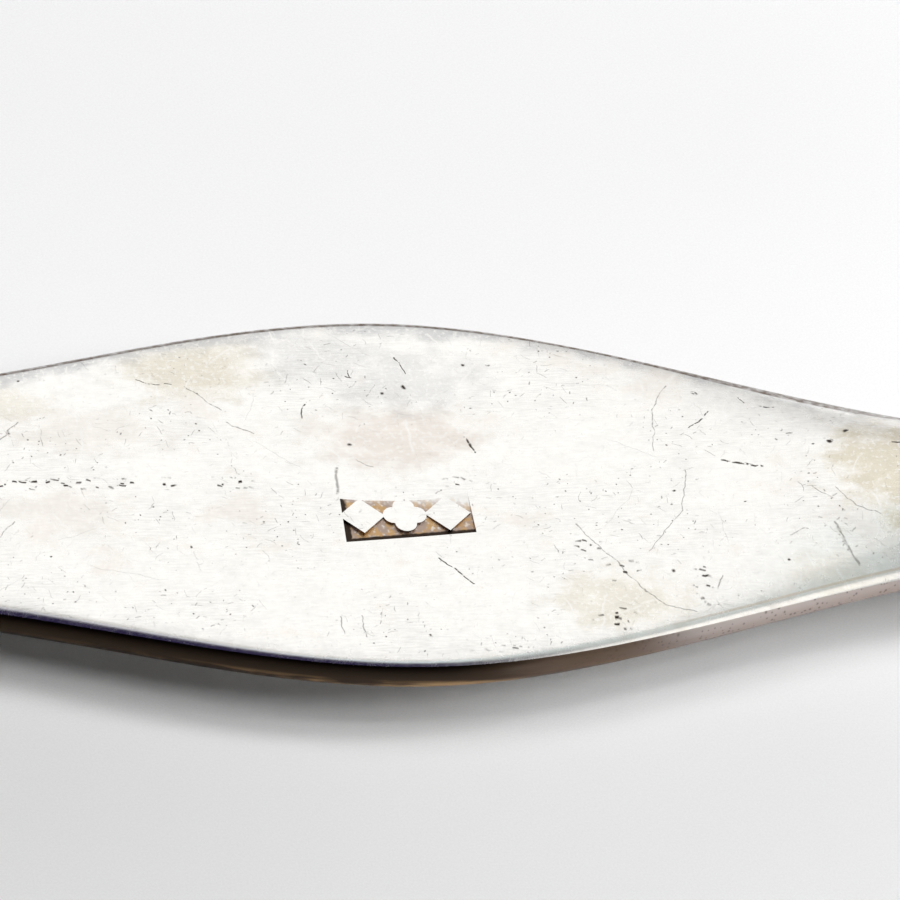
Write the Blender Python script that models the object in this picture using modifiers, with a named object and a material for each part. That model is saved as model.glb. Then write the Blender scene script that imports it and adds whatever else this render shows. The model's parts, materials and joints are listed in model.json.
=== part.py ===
"""Silver sugar tongs: a sprung bow, two arms with leaf-shaped finger swells and two spoon-shaped bowls.

Every piece is worked from sheet silver and joined to the next by a soldered half-lap, so each one is a
grid laid on its own surface and given its gauge. The tongs lie on one arm, as they do on a table: +Z is up,
+X runs from the bow to the bowls, and the origin is on the table under the middle of the tongs.

A half of the tongs is laid out along its "side line": x is measured along the straight arm from the end of
the bow's arc, z is measured inwards, towards the other arm. The same half turned over is the upper one.
"""

import math

import bmesh
import bpy
from mathutils import Matrix, Vector

# Sheet silver
GAUGE = 0.0011  # arms, bowls, and the bow where it meets the arms
CROWN_GAUGE = 0.0008  # the bow is hammered thinner at its crown, where it springs
STEM_GAUGE = 0.0020  # along the middle of the stem, which is rounded on its inner side
STEM_EDGE = 0.00065  # along the edges of the stem
EDGE_ROUND = 0.0003  # worn edges

# Bow
BOW_RADIUS = 0.0130  # to the middle of the strip
CROWN_WIDTH = 0.0104

# Arms
SPLAY = math.radians(4.5)  # each arm leans this far out from the middle plane
WAIST_WIDTH = 0.0082
WAIST_TO_BELLY = 0.0175
BELLY_WIDTH = 0.0140  # the finger swell
BELLY_AT = 0.0480
BELLY_TO_STEM = 0.0208
STEM_WIDTH = 0.0050
NECK_WIDTH = 0.0044
NECK_RISE = math.radians(4.0)  # the stem bends in towards the bowls
BEND_START = 0.0640
BEND_LENGTH = 0.0300

# Bowls
BOWL_LENGTH = 0.0240
BOWL_WIDTH = 0.0155  # across the rim, to the middle of the sheet
BOWL_DEPTH = 0.0042
BOWL_AT = 0.1160  # middle of the bowl
BOWL_TAPER = 0.10  # narrower towards the tip, as an egg is
HEEL_LENGTH = 0.0050  # where the stem turns into the bowl's rim
CLOSE_ANGLE = math.radians(9.3)  # each arm turns this far before the bowls meet

# Soldered half-laps
LAP_LENGTH = 0.0060
BOW_LAP_AT = 0.0110  # the arm's end, on the straight leg of the bow
SEAM = 0.0003  # between two lapped pieces, filled with solder
SOLDER_CLEARANCE = 0.00005  # on each side of the solder

# Facets along and across each kind of sheet
FACETS = {"bow": (44, 2), "arm": (50, 8), "bowl": (30, 10), "solder": (4, 2)}

# Places that follow from the sizes above
ARC_ANGLE = math.pi / 2 - SPLAY  # of each half of the bow
ARC_LENGTH = BOW_RADIUS * ARC_ANGLE
ARC_END = Vector((BOW_RADIUS * (1 - math.cos(ARC_ANGLE)), 0, -BOW_RADIUS * math.sin(ARC_ANGLE)))
# The half of the bow bends about the middle of its own arc.
FLEX_POINT = Vector(
    (
        BOW_RADIUS * (1 - math.sin(ARC_ANGLE) / ARC_ANGLE),
        0,
        -BOW_RADIUS * (1 - math.cos(ARC_ANGLE)) / ARC_ANGLE,
    )
)
BOW_LAP_END = BOW_LAP_AT + LAP_LENGTH
BOWL_START = BOWL_AT - BOWL_LENGTH / 2
BOWL_LAP_END = BOWL_START - SEAM
BOWL_LAP_AT = BOWL_LAP_END - LAP_LENGTH
BOWL_LEAN = CLOSE_ANGLE - SPLAY  # the rims are level with each other when the tongs are closed
OUTLINE = (
    (-ARC_LENGTH, CROWN_WIDTH / 2),
    (BELLY_AT - WAIST_TO_BELLY, WAIST_WIDTH / 2),
    (BELLY_AT, BELLY_WIDTH / 2),
    (BELLY_AT + BELLY_TO_STEM, STEM_WIDTH / 2),
    (BOWL_LAP_AT, NECK_WIDTH / 2),
)


def silver(name, colour, roughness):
    material = bpy.data.materials.new(name)
    material.use_nodes = True
    shader = material.node_tree.nodes["Principled BSDF"]
    shader.inputs["Base Color"].default_value = (*colour, 1)
    shader.inputs["Roughness"].default_value = roughness
    shader.inputs["Metallic"].default_value = 1
    return material


def new_collection(name, hidden=False):
    collection = bpy.data.collections.new(name)
    collection.hide_render = hidden
    bpy.context.scene.collection.children.link(collection)
    return collection


def move_to(obj, collection):
    for old in list(obj.users_collection):
        old.objects.unlink(obj)
    collection.objects.link(obj)


def empty(name, parent, collection):
    obj = bpy.data.objects.new(name, None)
    obj.parent = parent
    collection.objects.link(obj)
    return obj


def smooth_step(t):
    t = min(max(t, 0), 1)
    return t * t * (3 - 2 * t)


def strip_half_width(x):
    """Half the width of bow, arm and stem: ogee curves between the named stations."""
    if x <= OUTLINE[0][0]:
        return OUTLINE[0][1]
    for (x0, half0), (x1, half1) in zip(OUTLINE, OUTLINE[1:]):
        if x < x1:
            return half0 + (half1 - half0) * smooth_step((x - x0) / (x1 - x0))
    return OUTLINE[-1][1]


def bowl_half_width(x):
    """The egg outline of the bowl, blended into the neck at its heel."""
    along = min(max((x - BOWL_AT) / (BOWL_LENGTH / 2), -1), 1)
    egg = BOWL_WIDTH / 2 * math.sqrt(1 - along * along) * (1 - BOWL_TAPER * along)
    if along > 0:
        return egg
    neck = strip_half_width(x)
    return math.hypot(egg, neck * (1 - smooth_step(1 + along)))


def ramp_rise(x, start, length):
    """Height gained by a slope that grows evenly from 0 to 1 over length, and then stays."""
    run = min(max(x - start, 0), length)
    return run * run / (2 * length) + max(x - start - length, 0)


def side_line(x):
    """Height of the middle of the sheet: a straight arm, a stem that bends in, a rim that leans back out."""
    rise = math.tan(NECK_RISE)
    lean = math.tan(BOWL_LEAN)
    bend = rise * ramp_rise(x, BEND_START, BEND_LENGTH)
    return bend - (rise + lean) * ramp_rise(x, BOWL_START, HEEL_LENGTH)


def stem_fullness(x):
    """From 0 on the flat finger swell to 1 along the rounded stem, and back to 0 at the bowl's lap."""
    swell = smooth_step((x - BELLY_AT) / BELLY_TO_STEM)
    flat = BOWL_LAP_AT - SEAM
    return swell * smooth_step((flat - x) / (flat - BELLY_AT - BELLY_TO_STEM))


def arm_x(along):
    return BOW_LAP_AT + (BOWL_LAP_END - BOW_LAP_AT) * along


def arm_gauge(along, across):
    """The stem is thicker than the sheet along its middle, and thinner along its edges."""
    share = across * across
    gain = STEM_GAUGE * (1 - share) + STEM_EDGE * share - GAUGE
    return GAUGE + gain * stem_fullness(arm_x(along))


def arm_surface(along, across):
    """The middle of the arm's thickness: the outer side stays flat, the stem is full on its inner side."""
    x = arm_x(along)
    gain = arm_gauge(along, across) - GAUGE
    return Vector((x, across * strip_half_width(x), side_line(x) + gain / 2))


def bow_run(along):
    """Length along the strip from the bow's crown."""
    return abs(2 * along - 1) * (ARC_LENGTH + BOW_LAP_END)


def bow_gauge(along, across):
    return CROWN_GAUGE + (GAUGE - CROWN_GAUGE) * smooth_step(bow_run(along) / ARC_LENGTH)


def bow_surface(along, across):
    """A point of the bow: legs in line with the arms, and the arc between them."""
    side = 1 if along > 0.5 else -1
    run = bow_run(along)
    turn = min(run, ARC_LENGTH) / BOW_RADIUS
    leg = max(run - ARC_LENGTH, 0)
    x = BOW_RADIUS * (1 - math.cos(turn)) + leg * math.sin(turn)
    z = BOW_RADIUS * math.sin(turn) + leg * math.cos(turn)
    return Vector((x, across * strip_half_width(run - ARC_LENGTH), side * z))


def bowl_surface(along, across):
    """A tab that laps on the stem, then the hollow of the bowl, with stations drawn together at its tip."""
    tab = BOWL_START - BOWL_LAP_AT
    share = tab / (tab + BOWL_LENGTH)
    if along <= share:
        x = BOWL_LAP_AT + tab * along / share
    else:
        turn = math.pi * (along - share) / (1 - share)
        x = BOWL_AT - BOWL_LENGTH / 2 * math.cos(turn)
    reach = min(max((x - BOWL_AT) / (BOWL_LENGTH / 2), -1), 1)
    heel = 1.5 if reach < 0 else 1.0  # the hollow starts gently at the heel
    hollow = BOWL_DEPTH * (1 - reach * reach) ** heel * (1 - across * across)
    return Vector((x, across * bowl_half_width(x), side_line(x) - hollow))


def bowl_gauge(along, across):
    return GAUGE


def sheet(name, kind, surface, gauge, material, parent, collection):
    """A grid laid on a surface, thickened to the gauge that the silver has at each of its points."""
    along, across = FACETS[kind]
    bpy.ops.mesh.primitive_grid_add(x_subdivisions=along, y_subdivisions=across, size=2)
    obj = bpy.context.object
    obj.name = obj.data.name = name
    group = obj.vertex_groups.new(name="gauge")
    mesh = bmesh.new()
    mesh.from_mesh(obj.data)
    weights = mesh.verts.layers.deform.verify()
    places = {vertex: ((vertex.co.x + 1) / 2, vertex.co.y) for vertex in mesh.verts}
    thickest = max(gauge(*place) for place in places.values())
    for vertex, place in places.items():
        vertex.co = surface(*place)
        vertex[weights][group.index] = gauge(*place) / thickest
    bmesh.ops.remove_doubles(mesh, verts=mesh.verts, dist=EDGE_ROUND / 100)
    mesh.to_mesh(obj.data)
    mesh.free()
    solidify = obj.modifiers.new("gauge", "SOLIDIFY")
    solidify.thickness = thickest
    solidify.offset = 0
    solidify.use_even_offset = True
    solidify.vertex_group = group.name
    solidify.thickness_vertex_group = 0
    obj.data.materials.append(material)
    obj.parent = parent
    move_to(obj, collection)
    return obj


def round_edges(obj):
    bevel = obj.modifiers.new("worn edges", "BEVEL")
    bevel.width = EDGE_ROUND
    bevel.segments = 2
    bevel.limit_method = "ANGLE"
    bevel.angle_limit = math.radians(50)
    obj.data.shade_smooth()


def lap_cutter(name, start, end, inner, parent, collection):
    """A block that takes the inner or the outer half of the gauge off a strip, from start to end."""
    middle = (start + end) / 2
    width = 3 * strip_half_width(middle)
    depth = 2 * GAUGE
    slope = math.atan2(side_line(end) - side_line(start), end - start)
    bpy.ops.mesh.primitive_cube_add(size=1)
    cutter = bpy.context.object
    cutter.name = cutter.data.name = name
    cutter.data.transform(Matrix.Diagonal((end - start, width, depth, 1)))
    step = (depth - SEAM) / 2 if inner else (SEAM - depth) / 2
    cutter.data.transform(Matrix.Translation((0, 0, step)))
    cutter.location = (middle, 0, side_line(middle))
    cutter.rotation_euler.y = -slope
    cutter.parent = parent
    cutter.hide_render = True
    cutter.display_type = "WIRE"
    move_to(cutter, collection)
    return cutter


def cut(obj, cutter):
    boolean = obj.modifiers.new(cutter.name, "BOOLEAN")
    boolean.operation = "DIFFERENCE"
    boolean.object = cutter


def make_bow(material, parent, collection):
    bow = sheet("bow_spring", "bow", bow_surface, bow_gauge, material, parent, collection)
    round_edges(bow)
    return bow


def make_arm(side, material, parent, collection):
    arm = sheet(f"{side}_arm", "arm", arm_surface, arm_gauge, material, parent, collection)
    round_edges(arm)
    return arm


def make_bowl(side, material, parent, collection):
    bowl = sheet(f"{side}_bowl", "bowl", bowl_surface, bowl_gauge, material, parent, collection)
    round_edges(bowl)
    return bowl


def make_solder(name, start, end, material, parent, collection):
    """The layer that fills a half-lap, a little inside the worn edges."""

    def surface(along, across):
        x = start + (end - start) * along
        return Vector((x, across * (strip_half_width(x) - EDGE_ROUND), side_line(x)))

    def gauge(along, across):
        return SEAM - 2 * SOLDER_CLEARANCE

    return sheet(name, "solder", surface, gauge, material, parent, collection)


def make_half(side, turn, tongs, bow, parts, cutters, metal, solder):
    """One arm with its bowl, carried on the point that its half of the bow bends about."""
    half = empty(f"{side}_half", tongs, parts)
    half.rotation_euler.x = turn
    flex = empty(f"{side}_flex", half, parts)
    flex.location = FLEX_POINT
    flex.rotation_euler.y = SPLAY
    line = empty(f"{side}_line", flex, parts)
    line.location = Matrix.Rotation(-SPLAY, 3, "Y") @ (ARC_END - FLEX_POINT)

    arm = make_arm(side, metal, line, parts)
    bowl = make_bowl(side, metal, line, parts)
    make_solder(f"{side}_bow_solder", BOW_LAP_AT, BOW_LAP_END, solder, line, parts)
    make_solder(f"{side}_bowl_solder", BOWL_LAP_AT, BOWL_LAP_END, solder, line, parts)

    # At both of its laps the arm keeps its outer half, and the bow and the bowl keep their inner half.
    reach = GAUGE  # how far a cutter stands out past the end of a piece
    bow_lap = (BOW_LAP_AT - reach, BOW_LAP_END + SEAM)
    cut(arm, lap_cutter(f"{side}_arm_bow_lap", *bow_lap, True, line, cutters))
    bowl_lap = (BOWL_LAP_AT - SEAM, BOWL_LAP_END + reach)
    cut(arm, lap_cutter(f"{side}_arm_bowl_lap", *bowl_lap, True, line, cutters))
    leg_end = (BOW_LAP_AT - SEAM, BOW_LAP_END + reach)
    cut(bow, lap_cutter(f"{side}_bow_lap", *leg_end, False, line, cutters))
    tab_end = (BOWL_LAP_AT - reach, BOWL_LAP_END + SEAM)
    cut(bowl, lap_cutter(f"{side}_bowl_lap", *tab_end, False, line, cutters))
    return flex


def side_view_points(objects):
    """The x and z of every evaluated vertex, in the world."""
    graph = bpy.context.evaluated_depsgraph_get()
    points = []
    for obj in objects:
        shown = obj.evaluated_get(graph)
        points += [shown.matrix_world @ vertex.co for vertex in shown.data.vertices]
    return [(point.x, point.z) for point in points]


def table_slope(points):
    """Slope of the line that the tongs rest on: the edge of the lower hull under their middle."""
    hull = []
    for point in sorted(points):
        while len(hull) > 1:
            (ax, az), (bx, bz) = hull[-2], hull[-1]
            if (bx - ax) * (point[1] - az) - (bz - az) * (point[0] - ax) > 0:
                break
            hull.pop()
        hull.append(point)
    middle = sum(x for x, _ in points) / len(points)
    for (ax, az), (bx, bz) in zip(hull, hull[1:]):
        if ax <= middle <= bx:
            return math.atan2(bz - az, bx - ax)
    raise ValueError("the tongs have no edge to rest on")


def lay_down(tongs, pieces):
    """Turn the tongs until one arm rests on the table, and bring the middle of their box to the origin."""
    bpy.context.view_layer.update()
    tongs.rotation_euler.y = table_slope(side_view_points(pieces))
    bpy.context.view_layer.update()
    points = side_view_points(pieces)
    lengths = [x for x, _ in points]
    tongs.location.x = -(min(lengths) + max(lengths)) / 2
    tongs.location.z = -min(z for _, z in points)
    bpy.context.view_layer.update()


def main():
    for obj in list(bpy.data.objects):
        bpy.data.objects.remove(obj)
    parts = new_collection("sugar_tongs")
    cutters = new_collection("lap_cutters", hidden=True)
    metal = silver("worn_silver", (0.90, 0.88, 0.84), 0.28)
    solder = silver("silver_solder", (0.86, 0.81, 0.70), 0.35)

    tongs = empty("tongs", None, parts)
    bow = make_bow(metal, tongs, parts)
    flexes = []
    for side, turn in (("lower", 0.0), ("upper", math.pi)):
        flexes.append(make_half(side, turn, tongs, bow, parts, cutters, metal, solder))

    lay_down(tongs, [obj for obj in parts.objects if obj.type == "MESH"])
    for flex in flexes:
        print(flex.name, [round(value, 6) for value in flex.matrix_world.translation])


main()
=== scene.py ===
"""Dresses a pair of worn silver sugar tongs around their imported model, and sets up a small studio for them.

A half of the tongs is laid out flat along its side line: x runs along the strip from the end of the bow's
arc, y across it and z inwards, towards the other arm. Each piece is modelled there once and then set in
its place.
"""

import json
import math
from functools import reduce
from types import SimpleNamespace

import bmesh
import bpy
from mathutils import Matrix, Vector
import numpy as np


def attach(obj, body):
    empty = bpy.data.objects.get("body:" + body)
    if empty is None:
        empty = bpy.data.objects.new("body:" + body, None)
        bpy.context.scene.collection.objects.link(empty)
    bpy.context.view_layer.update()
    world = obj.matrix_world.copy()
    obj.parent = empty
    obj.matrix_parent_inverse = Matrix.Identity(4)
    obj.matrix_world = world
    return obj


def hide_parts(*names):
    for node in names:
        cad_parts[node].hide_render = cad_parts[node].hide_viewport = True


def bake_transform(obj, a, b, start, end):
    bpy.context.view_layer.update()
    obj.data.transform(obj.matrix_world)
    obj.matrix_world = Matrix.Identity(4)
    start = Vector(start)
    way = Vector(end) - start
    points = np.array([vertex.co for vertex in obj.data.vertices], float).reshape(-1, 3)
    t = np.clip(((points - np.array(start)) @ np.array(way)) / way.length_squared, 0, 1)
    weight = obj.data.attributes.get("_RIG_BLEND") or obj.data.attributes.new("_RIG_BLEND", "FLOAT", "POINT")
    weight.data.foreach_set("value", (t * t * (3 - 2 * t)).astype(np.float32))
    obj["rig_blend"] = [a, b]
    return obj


bl_info = {
    "name": "Sugar Tongs",
    "version": (1, 0, 0),
    "blender": (4, 5, 0),
    "location": "View3D > Sidebar > Tongs",
    "description": "Models worn silver sugar tongs, piece by piece, and the studio they are shown in",
    "category": "Object",
}

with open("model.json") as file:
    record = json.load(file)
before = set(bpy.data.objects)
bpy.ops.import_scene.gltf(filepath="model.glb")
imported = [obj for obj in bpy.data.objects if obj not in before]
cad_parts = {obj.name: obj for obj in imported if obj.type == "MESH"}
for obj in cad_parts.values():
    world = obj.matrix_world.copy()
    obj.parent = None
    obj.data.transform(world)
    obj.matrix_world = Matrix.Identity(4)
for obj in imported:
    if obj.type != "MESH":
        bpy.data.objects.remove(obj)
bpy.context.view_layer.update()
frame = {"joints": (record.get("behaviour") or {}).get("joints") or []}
JOINTS = {joint["name"]: joint for joint in frame["joints"]}
SIDES = ("lower", "upper")
MM = 0.001
ROW = 0.8 * MM  # from one row of a strip to the next

# Along the near edge of the finger swell the round is tighter: where that starts, is full, lasts to and ends,
# in millimetres from the swell's middle, and by how much
TIGHT_ROUND = (-8.5, -6.0, 1.5, 5.0)
TIGHTER = 0.36

# How the faces of the sheet fall away to its worn edges: millimetres in from the edge and millimetres down
FALL = ((1.0, 0.0), (0.75, 0.008), (0.55, 0.025), (0.0, 0.08))
OUTER_FALL = 0.3  # share of that fall on the outer face


# Sizes and colours that a user would change


def length(name, description, default):
    return bpy.props.FloatProperty(
        name=name, description=description, default=default, min=0, unit="LENGTH", precision=5
    )


def angle(name, description, degrees):
    return bpy.props.FloatProperty(
        name=name, description=description, default=math.radians(degrees), subtype="ANGLE"
    )


def colour(name, description, default):
    return bpy.props.FloatVectorProperty(
        name=name, description=description, default=default, size=3, min=0, max=1, subtype="COLOR"
    )


class TongsSizes(bpy.types.PropertyGroup):
    """Sizes of the tongs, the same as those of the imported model."""

    gauge: length("Gauge", "Thickness of the sheet silver", 0.0011)
    crown_gauge: length("Crown gauge", "Thickness of the bow at its crown", 0.0008)
    stem_gauge: length("Stem gauge", "Thickness along the middle of the rounded stem", 0.0020)
    stem_edge: length("Stem edge", "Thickness along the edges of the stem", 0.00065)
    edge_round: length("Edge round", "Radius of the worn edges", 0.00042)
    bow_radius: length("Bow radius", "Radius of the bow, to the middle of the strip", 0.0130)
    crown_width: length("Crown width", "Width of the bow at its crown", 0.0104)
    splay: angle("Splay", "How far each arm leans out from the middle plane", 4.5)
    waist_width: length("Waist width", "Width of the arm between the bow and the finger swell", 0.0082)
    waist_to_belly: length("Waist to belly", "From the waist to the middle of the swell", 0.0175)
    belly_width: length("Belly width", "Width of the finger swell", 0.0140)
    belly_at: length("Belly place", "Middle of the swell, from the end of the bow's arc", 0.0480)
    belly_to_stem: length("Belly to stem", "From the middle of the swell to the stem", 0.0208)
    stem_width: length("Stem width", "Width of the stem next to the swell", 0.0050)
    neck_width: length("Neck width", "Width of the stem at the bowl", 0.0044)
    neck_rise: angle("Neck rise", "How far the stem bends in towards the bowls", 4.0)
    bend_start: length("Bend start", "Where the stem starts to bend", 0.0640)
    bend_length: length("Bend length", "Length of the bend", 0.0300)
    bowl_length: length("Bowl length", "Length of the bowl", 0.0240)
    bowl_width: length("Bowl width", "Width of the bowl, to the middle of the sheet", 0.0155)
    bowl_depth: length("Bowl depth", "Depth of the bowl's hollow", 0.0042)
    bowl_at: length("Bowl place", "Middle of the bowl, from the end of the bow's arc", 0.1160)
    bowl_taper: bpy.props.FloatProperty(
        name="Bowl taper", description="How much narrower the bowl is towards its tip", default=0.10
    )
    heel_length: length("Heel length", "Where the stem turns into the bowl's rim", 0.0050)
    close_angle: angle("Closing angle", "How far each arm turns before the bowls meet", 9.3)
    lap_length: length("Lap length", "Length of the soldered half-laps", 0.0060)
    bow_lap_at: length("Bow lap place", "End of the arm on the straight leg of the bow", 0.0110)
    seam: length("Seam", "Gap between two lapped pieces, filled with solder", 0.0003)
    solder_gap: length("Solder gap", "Hair gap between the solder and the silver", 0.00001)


class TongsColours(bpy.types.PropertyGroup):
    """Colours of the silver, its tarnish and the studio."""

    silver: colour("Silver", "Clean worn silver", (0.975, 0.962, 0.938))
    tarnish: colour("Tarnish", "Pinkish haze on the faces", (0.86, 0.79, 0.73))
    beige: colour("Beige", "Yellower haze on the faces", (0.79, 0.735, 0.62))
    # Rim also paints a grey reflection on the top of the cut edges towards the stem
    rim: colour("Rim", "Greyer silver along the rims", (0.66, 0.66, 0.67))
    dirt: colour("Dirt", "Dark matter in scratches and pits", (0.045, 0.032, 0.025))
    # Edge and rubbed edge: partly tarnish, partly painted reflection of the shaded and the lit floor
    edge: colour("Edge", "Dark brown tarnish on the cut edges", (0.046, 0.031, 0.021))
    worn_rim: colour("Worn rim", "Brown tarnish along the far rim and on the cut edges", (0.13, 0.08, 0.048))
    rubbed_edge: colour("Rubbed edge", "Thinner tarnish where the edges are handled", (0.60, 0.50, 0.46))
    umber: colour("Umber", "Brown tarnish in the ground of the punch", (0.46, 0.35, 0.29))
    ochre: colour("Ochre", "Ochre tarnish in the punch and along the foot of the edges", (0.62, 0.40, 0.20))
    solder: colour("Solder", "Silver solder, yellower than the sheet", (0.86, 0.80, 0.68))
    floor: colour("Floor", "Pale paper under the tongs", (0.93, 0.93, 0.935))


class Plan:
    """Places and outlines that follow from the sizes."""

    def __init__(self, sizes):
        for name in TongsSizes.__annotations__:
            setattr(self, name, getattr(sizes, name))
        self.arc_angle = math.pi / 2 - self.splay
        self.arc_length = self.bow_radius * self.arc_angle
        self.bow_lap_end = self.bow_lap_at + self.lap_length
        self.bowl_start = self.bowl_at - self.bowl_length / 2
        self.bowl_lap_end = self.bowl_start - self.seam
        self.bowl_lap_at = self.bowl_lap_end - self.lap_length
        self.outline = (
            (-self.arc_length, self.crown_width / 2),
            (self.belly_at - self.waist_to_belly, self.waist_width / 2),
            (self.belly_at, self.belly_width / 2),
            (self.belly_at + self.belly_to_stem, self.stem_width / 2),
            (self.bowl_lap_at, self.neck_width / 2),
        )

    def tongs_place(self):
        """The tongs' own frame, read from the two points that the halves of the bow bend about."""
        low = Vector(JOINTS["lower_arm_flex"]["pos_m"])
        high = Vector(JOINTS["upper_arm_flex"]["pos_m"])
        z = (high - low).normalized()
        y = Vector((0, 1, 0))
        x = y.cross(z)
        reach = self.bow_radius * (1 - math.sin(self.arc_angle) / self.arc_angle)
        place = Matrix((x, y, z)).transposed().to_4x4()
        place.translation = (low + high) / 2 - x * reach
        return place

    def half_place(self, side):
        """One half of the tongs: the upper one is the lower one turned over."""
        turn = 0 if side == "lower" else math.pi
        return self.tongs_place() @ Matrix.Rotation(turn, 4, "X")

    def line_place(self, side):
        """The side line of one half, from the end of the bow's arc."""
        x = self.bow_radius * (1 - math.cos(self.arc_angle))
        z = -self.bow_radius * math.sin(self.arc_angle)
        lean = Matrix.Rotation(self.splay, 4, "Y")
        return self.half_place(side) @ Matrix.Translation((x, 0, z)) @ lean

    def half_width(self, x):
        """Half the width of bow, arm and stem: ogee curves between the named stations."""
        if x <= self.outline[0][0]:
            return self.outline[0][1]
        for (x0, half0), (x1, half1) in zip(self.outline, self.outline[1:]):
            if x < x1:
                return half0 + (half1 - half0) * smooth_step((x - x0) / (x1 - x0))
        return self.outline[-1][1]

    def bowl_half_width(self, x):
        """The egg outline of the bowl, blended into the neck at its heel."""
        along = min(max((x - self.bowl_at) / (self.bowl_length / 2), -1), 1)
        egg = self.bowl_width / 2 * math.sqrt(1 - along * along) * (1 - self.bowl_taper * along)
        if along > 0:
            return egg
        neck = self.half_width(x) * (1 - smooth_step(1 + along))
        return math.hypot(egg, neck)

    def bowl_rim(self, turn, inset):
        """A point of the bowl's outline, half a turn from heel to tip, or one that far inside of it."""
        x = self.bowl_at - self.bowl_length / 2 * math.cos(turn)
        y = self.bowl_half_width(x)
        if x < self.bowl_at:
            return Vector((x, y - inset))
        out = Vector((x - self.bowl_at, y)).normalized()
        return Vector((x, y)) - out * inset

    def bowl_hollow(self, x, y):
        """Depth of the bowl's hollow below its rim, gentler at the heel than at the tip."""
        along = min(max((x - self.bowl_at) / (self.bowl_length / 2), -1), 1)
        if along < 0:
            across = y / self.bowl_half_width(x)
            return self.bowl_depth * (1 - along * along) ** 1.5 * (1 - across * across)
        across = y / (self.bowl_width / 2 * (1 - self.bowl_taper * along))
        return self.bowl_depth * max(1 - along * along - across * across, 0)

    def side_line(self, x):
        """Height of the middle of the sheet: straight arm, stem that bends in, rim that leans back out."""
        rise = math.tan(self.neck_rise)
        lean = math.tan(self.close_angle - self.splay)
        bend = rise * ramp_rise(x, self.bend_start, self.bend_length)
        return bend - (rise + lean) * ramp_rise(x, self.bowl_start, self.heel_length)

    def stem_fullness(self, x):
        """From 0 on the flat finger swell to 1 along the rounded stem, and back to 0 at the bowl's lap."""
        swell = smooth_step((x - self.belly_at) / self.belly_to_stem)
        flat = self.bowl_lap_at - self.seam
        return swell * smooth_step((flat - x) / (flat - self.belly_at - self.belly_to_stem))

    def strip_gauge(self, x):
        """The bow is hammered thinner towards its crown."""
        return self.crown_gauge + (self.gauge - self.crown_gauge) * smooth_step(1 + x / self.arc_length)

    def stem_gain(self, x, y):
        """How much thicker than the sheet the stem is along its middle, and thinner along its edges."""
        share = (y / self.half_width(x)) ** 2
        return (self.stem_gauge * (1 - share) + self.stem_edge * share - self.gauge) * self.stem_fullness(x)

    def roundness(self, x, y):
        """Share of the full round on an edge: as far as it is thick, less along the swell's near edge."""
        share = (self.strip_gauge(x) + self.stem_gain(x, self.half_width(x))) / self.gauge
        if y >= 0:
            return share
        along = (x - self.belly_at) / MM
        start, full, last, end = TIGHT_ROUND
        coming = smooth_step((along - start) / (full - start))
        going = smooth_step((along - last) / (end - last))
        return share * (1 - TIGHTER * coming * (1 - going))


def read_settings(context):
    """The plan for the sizes, and the colours with their opacity."""
    group = context.scene.tongs_colours
    colours = {name: (*getattr(group, name), 1.0) for name in TongsColours.__annotations__}
    return Plan(context.scene.tongs_sizes), SimpleNamespace(**colours)


def smooth_step(t):
    """From 0 to 1 with a soft start and end."""
    t = min(max(t, 0), 1)
    return t * t * (3 - 2 * t)


def ramp_rise(x, start, run_in):
    """Height gained by a slope that grows evenly from 0 to 1 over run_in, and then stays."""
    run = min(max(x - start, 0), run_in)
    return run * run / (2 * run_in) + max(x - start - run_in, 0)


def steps(start, end, size):
    """Even steps from start to end, each of about that size."""
    count = max(1, round((end - start) / size))
    return [start + (end - start) * index / count for index in range(count + 1)]


# Modelling by hand: select in code, then use the edit operators


def deselect():
    """Leave edit mode with nothing selected."""
    if bpy.context.mode != "OBJECT":
        bpy.ops.object.mode_set(mode="OBJECT")
    bpy.ops.object.select_all(action="DESELECT")


def pick(obj):
    """Make an object the only selected one, and the active one."""
    deselect()
    obj.select_set(True)
    bpy.context.view_layer.objects.active = obj


def edit(obj):
    """Enter edit mode with points as the choice, and hand over the mesh."""
    pick(obj)
    bpy.ops.object.mode_set(mode="EDIT")
    bpy.context.tool_settings.mesh_select_mode = (True, False, False)
    return bmesh.from_edit_mesh(obj.data)


def take(points):
    """Select these points alone."""
    bpy.ops.mesh.select_all(action="DESELECT")
    for point in points:
        point.select_set(True)


def take_faces(mesh, wanted):
    """Select the wanted faces alone."""
    bpy.ops.mesh.select_all(action="DESELECT")
    bpy.context.tool_settings.mesh_select_mode = (False, False, True)
    for face in mesh.faces:
        if wanted(face):
            face.select_set(True)
    mesh.select_flush_mode()


def rows_of(points, key):
    """Points gathered by a rounded key, in order."""
    rows = {}
    for point in points:
        rows.setdefault(round(key(point.co), 6), []).append(point)
    return [rows[place] for place in sorted(rows)]


def columns_of(points):
    """Points of one face of a strip, gathered by their place in its rows."""
    rows = [sorted(row, key=lambda point: point.co.y) for row in rows_of(points, lambda co: co.x)]
    return list(zip(*rows))


def new_grid(name, stations, shares):
    """A flat sheet with its rows at the stations along x and its columns at the shares across y.

    Its mesh is handed over too, because the points of rows and columns last no longer than that.
    """
    deselect()
    bpy.ops.mesh.primitive_grid_add(x_subdivisions=len(stations) - 1, y_subdivisions=len(shares) - 1, size=2)
    obj = bpy.context.object
    obj.name = obj.data.name = name
    mesh = edit(obj)
    rows = rows_of(mesh.verts, lambda co: co.x)
    columns = columns_of(mesh.verts)
    for column, share in zip(columns, shares):
        take(column)
        bpy.ops.transform.translate(value=(0, share - column[0].co.y, 0))
    for row, x in zip(rows, stations):
        take(row)
        bpy.ops.transform.translate(value=(x - row[0].co.x, 0, 0))
    return obj, mesh, rows, columns


def apply(obj, kind, **settings):
    """Add a modifier and apply it."""
    pick(obj)
    modifier = obj.modifiers.new(kind.lower(), kind)
    for name, value in settings.items():
        setattr(modifier, name, value)
    bpy.ops.object.modifier_apply(modifier=modifier.name)


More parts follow.
